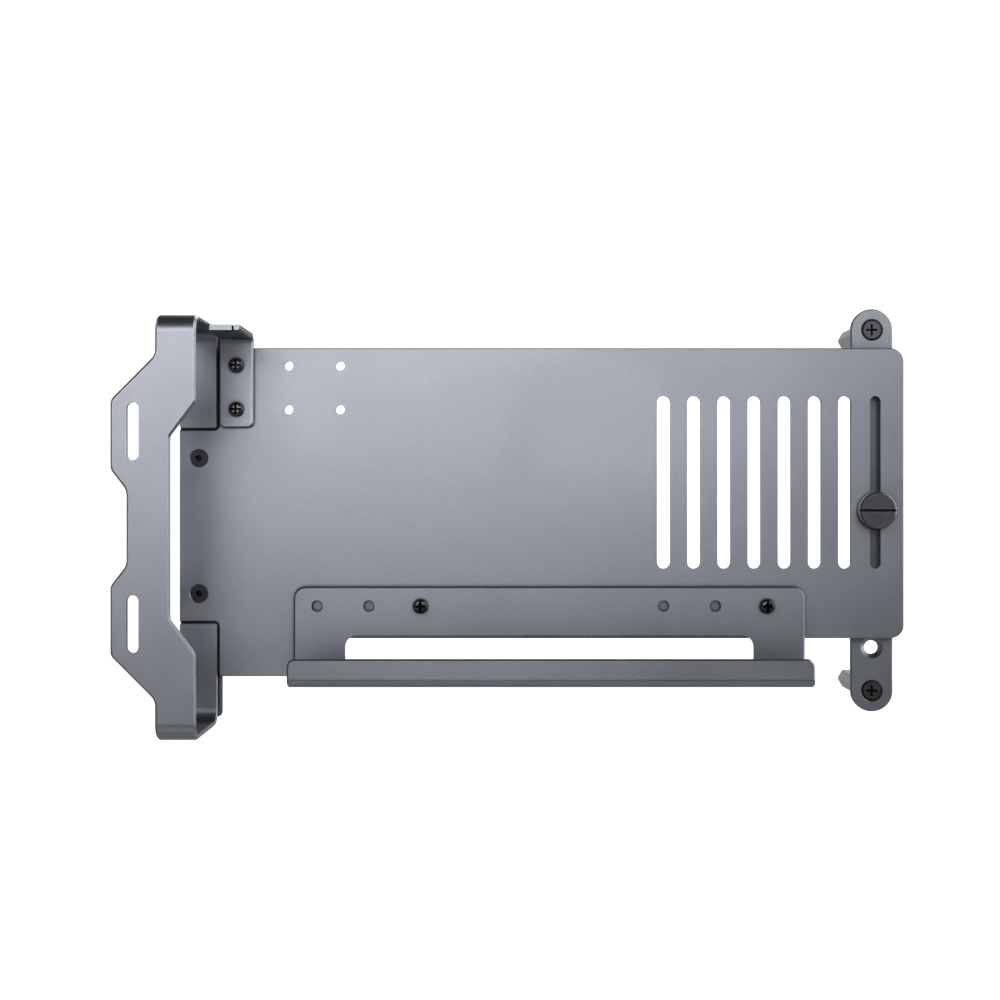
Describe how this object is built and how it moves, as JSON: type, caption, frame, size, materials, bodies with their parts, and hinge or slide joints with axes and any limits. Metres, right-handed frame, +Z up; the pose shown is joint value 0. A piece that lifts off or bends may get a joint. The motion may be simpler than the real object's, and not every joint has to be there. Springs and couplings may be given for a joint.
{
  "type": "vertical gpu bracket",
  "caption": "Sheet metal bracket that holds a graphics card upright in a computer case, with a slotted cover, a riser rail, a card ledge and an adjustable support strip.",
  "frame": {"origin": "midway between the two case slots, on the cover's front face", "axes": "+X along the base plate to its free end, +Z up along the cover, +Y from the cover's face back to the base plate"},
  "size_m": [0.2976, 0.0929, 0.1622],
  "materials": {
    "anodised_sheet": "bead-blasted and anodised space grey, polished edges on the cover",
    "cross_screw": "black zinc-plated steel, glossy",
    "socket_screw": "black oxide steel, satin",
    "bright_post": "nickel-plated steel",
    "dark_knob": "black anodised, turned face"
  },
  "bodies": {
    "bracket": {"side_frame": "anodised_sheet", "base_plate": "anodised_sheet", "joint_plate": "anodised_sheet", "ledge_bracket": "anodised_sheet", "riser_rail": "anodised_sheet", "tab_screw_upper": "socket_screw", "tab_screw_lower": "socket_screw", "frame_screw_1": "socket_screw", "frame_screw_2": "socket_screw", "frame_screw_3": "socket_screw", "frame_screw_4": "socket_screw", "ledge_screw_upper": "cross_screw", "ledge_screw_lower": "cross_screw", "rail_screw_left": "cross_screw", "rail_screw_right": "cross_screw"},
    "carriage": {"slide_spacer": "anodised_sheet"},
    "strip": {"support_strip": "anodised_sheet", "post_upper": "bright_post", "post_lower": "bright_post", "strip_screw_upper": "cross_screw", "strip_screw_lower": "cross_screw"},
    "knob": {"thumb_screw": "dark_knob"}
  },
  "joints": [
    {"name": "strip_slide", "type": "slide", "parent": "bracket", "child": "carriage", "axis": [0, 0, 1], "range_m": [-0.0206, 0.0423]},
    {"name": "strip_swing", "type": "hinge", "parent": "carriage", "child": "strip", "pos_m": [0.2783, 0.0489, 0.006], "axis": [0, 1, 0], "continuous": true},
    {"name": "knob_turn", "type": "hinge", "parent": "carriage", "child": "knob", "pos_m": [0.2783, 0.0434, 0.006], "axis": [0, 1, 0], "continuous": true}
  ]
}
